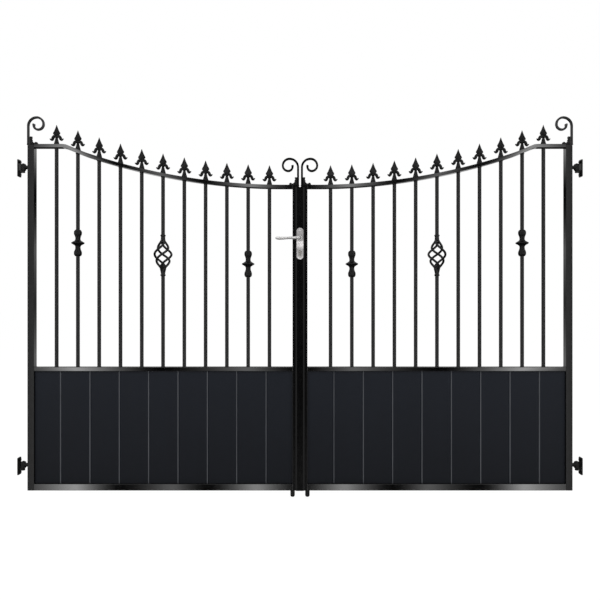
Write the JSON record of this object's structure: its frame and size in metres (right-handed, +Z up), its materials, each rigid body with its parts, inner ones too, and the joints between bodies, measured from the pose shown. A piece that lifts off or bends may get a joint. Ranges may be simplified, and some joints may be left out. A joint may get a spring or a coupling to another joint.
{
  "type": "driveway gate",
  "caption": "Pair of wrought iron driveway gates with boarded lower panels, a dipping top rail, spear finials, twisted baskets, scrolls, lever handle and drop bolts.",
  "frame": {"origin": "centre of the back face of the lower left hook plate, where it is bolted to its post", "axes": "+X from the left post to the right post seen from the front, +Y from the front towards the drive that the leaves open into, +Z up"},
  "size_m": [2.762, 0.1325, 1.8802],
  "materials": {
    "black_paint": "satin to gloss black paint on steel",
    "panel_paint": "satin blue-black paint on steel boards",
    "satin_steel": "satin",
    "cylinder_nickel": "satin nickel"
  },
  "bodies": {
    "gate_hooks": {"left_hooks": "black_paint", "right_hooks": "black_paint"},
    "left_leaf": {"left_hinge_stile": "black_paint", "left_meeting_stile": "black_paint", "left_bottom_rail": "black_paint", "left_mid_rail": "black_paint", "left_top_rail": "black_paint", "left_boarded_panel": "panel_paint", "left_bars": "black_paint", "left_basket_bar": "black_paint", "left_collars": "black_paint", "left_finials": "black_paint", "left_scrolls": "black_paint", "left_corner_leaves": "black_paint", "left_hinge_eyes": "black_paint", "left_bolt_guides": "black_paint", "cover_strip": "black_paint", "handle_plate": "satin_steel", "lock_cylinder": "cylinder_nickel"},
    "right_leaf": {"right_hinge_stile": "black_paint", "right_meeting_stile": "black_paint", "right_bottom_rail": "black_paint", "right_mid_rail": "black_paint", "right_top_rail": "black_paint", "right_boarded_panel": "panel_paint", "right_bars": "black_paint", "right_basket_bar": "black_paint", "right_collars": "black_paint", "right_finials": "black_paint", "right_scrolls": "black_paint", "right_corner_leaves": "black_paint", "right_hinge_eyes": "black_paint", "right_bolt_guides": "black_paint"},
    "left_bolt": {"left_drop_bolt": "black_paint"},
    "right_bolt": {"right_drop_bolt": "black_paint"},
    "lever": {"lever_handle": "satin_steel"}
  },
  "joints": [
    {"name": "left_leaf_swing", "type": "hinge", "parent": "gate_hooks", "child": "left_leaf", "pos_m": [0.023, 0, 0.005], "axis": [0, 0, 1], "range_deg": [0, 90]},
    {"name": "right_leaf_swing", "type": "hinge", "parent": "gate_hooks", "child": "right_leaf", "pos_m": [2.739, 0, 0.005], "axis": [0, 0, -1], "range_deg": [0, 90]},
    {"name": "left_bolt_lift", "type": "slide", "parent": "left_leaf", "child": "left_bolt", "axis": [0, 0, 1], "range_m": [0, 0.06]},
    {"name": "right_bolt_lift", "type": "slide", "parent": "right_leaf", "child": "right_bolt", "axis": [0, 0, 1], "range_m": [0, 0.06]},
    {"name": "lever_turn", "type": "hinge", "parent": "left_leaf", "child": "lever", "pos_m": [1.381, -0.034, 1.1145], "axis": [0, -1, 0], "range_deg": [0, 40], "stiffness_Nm_per_rad": 1, "springref_deg": -20.05}
  ]
}
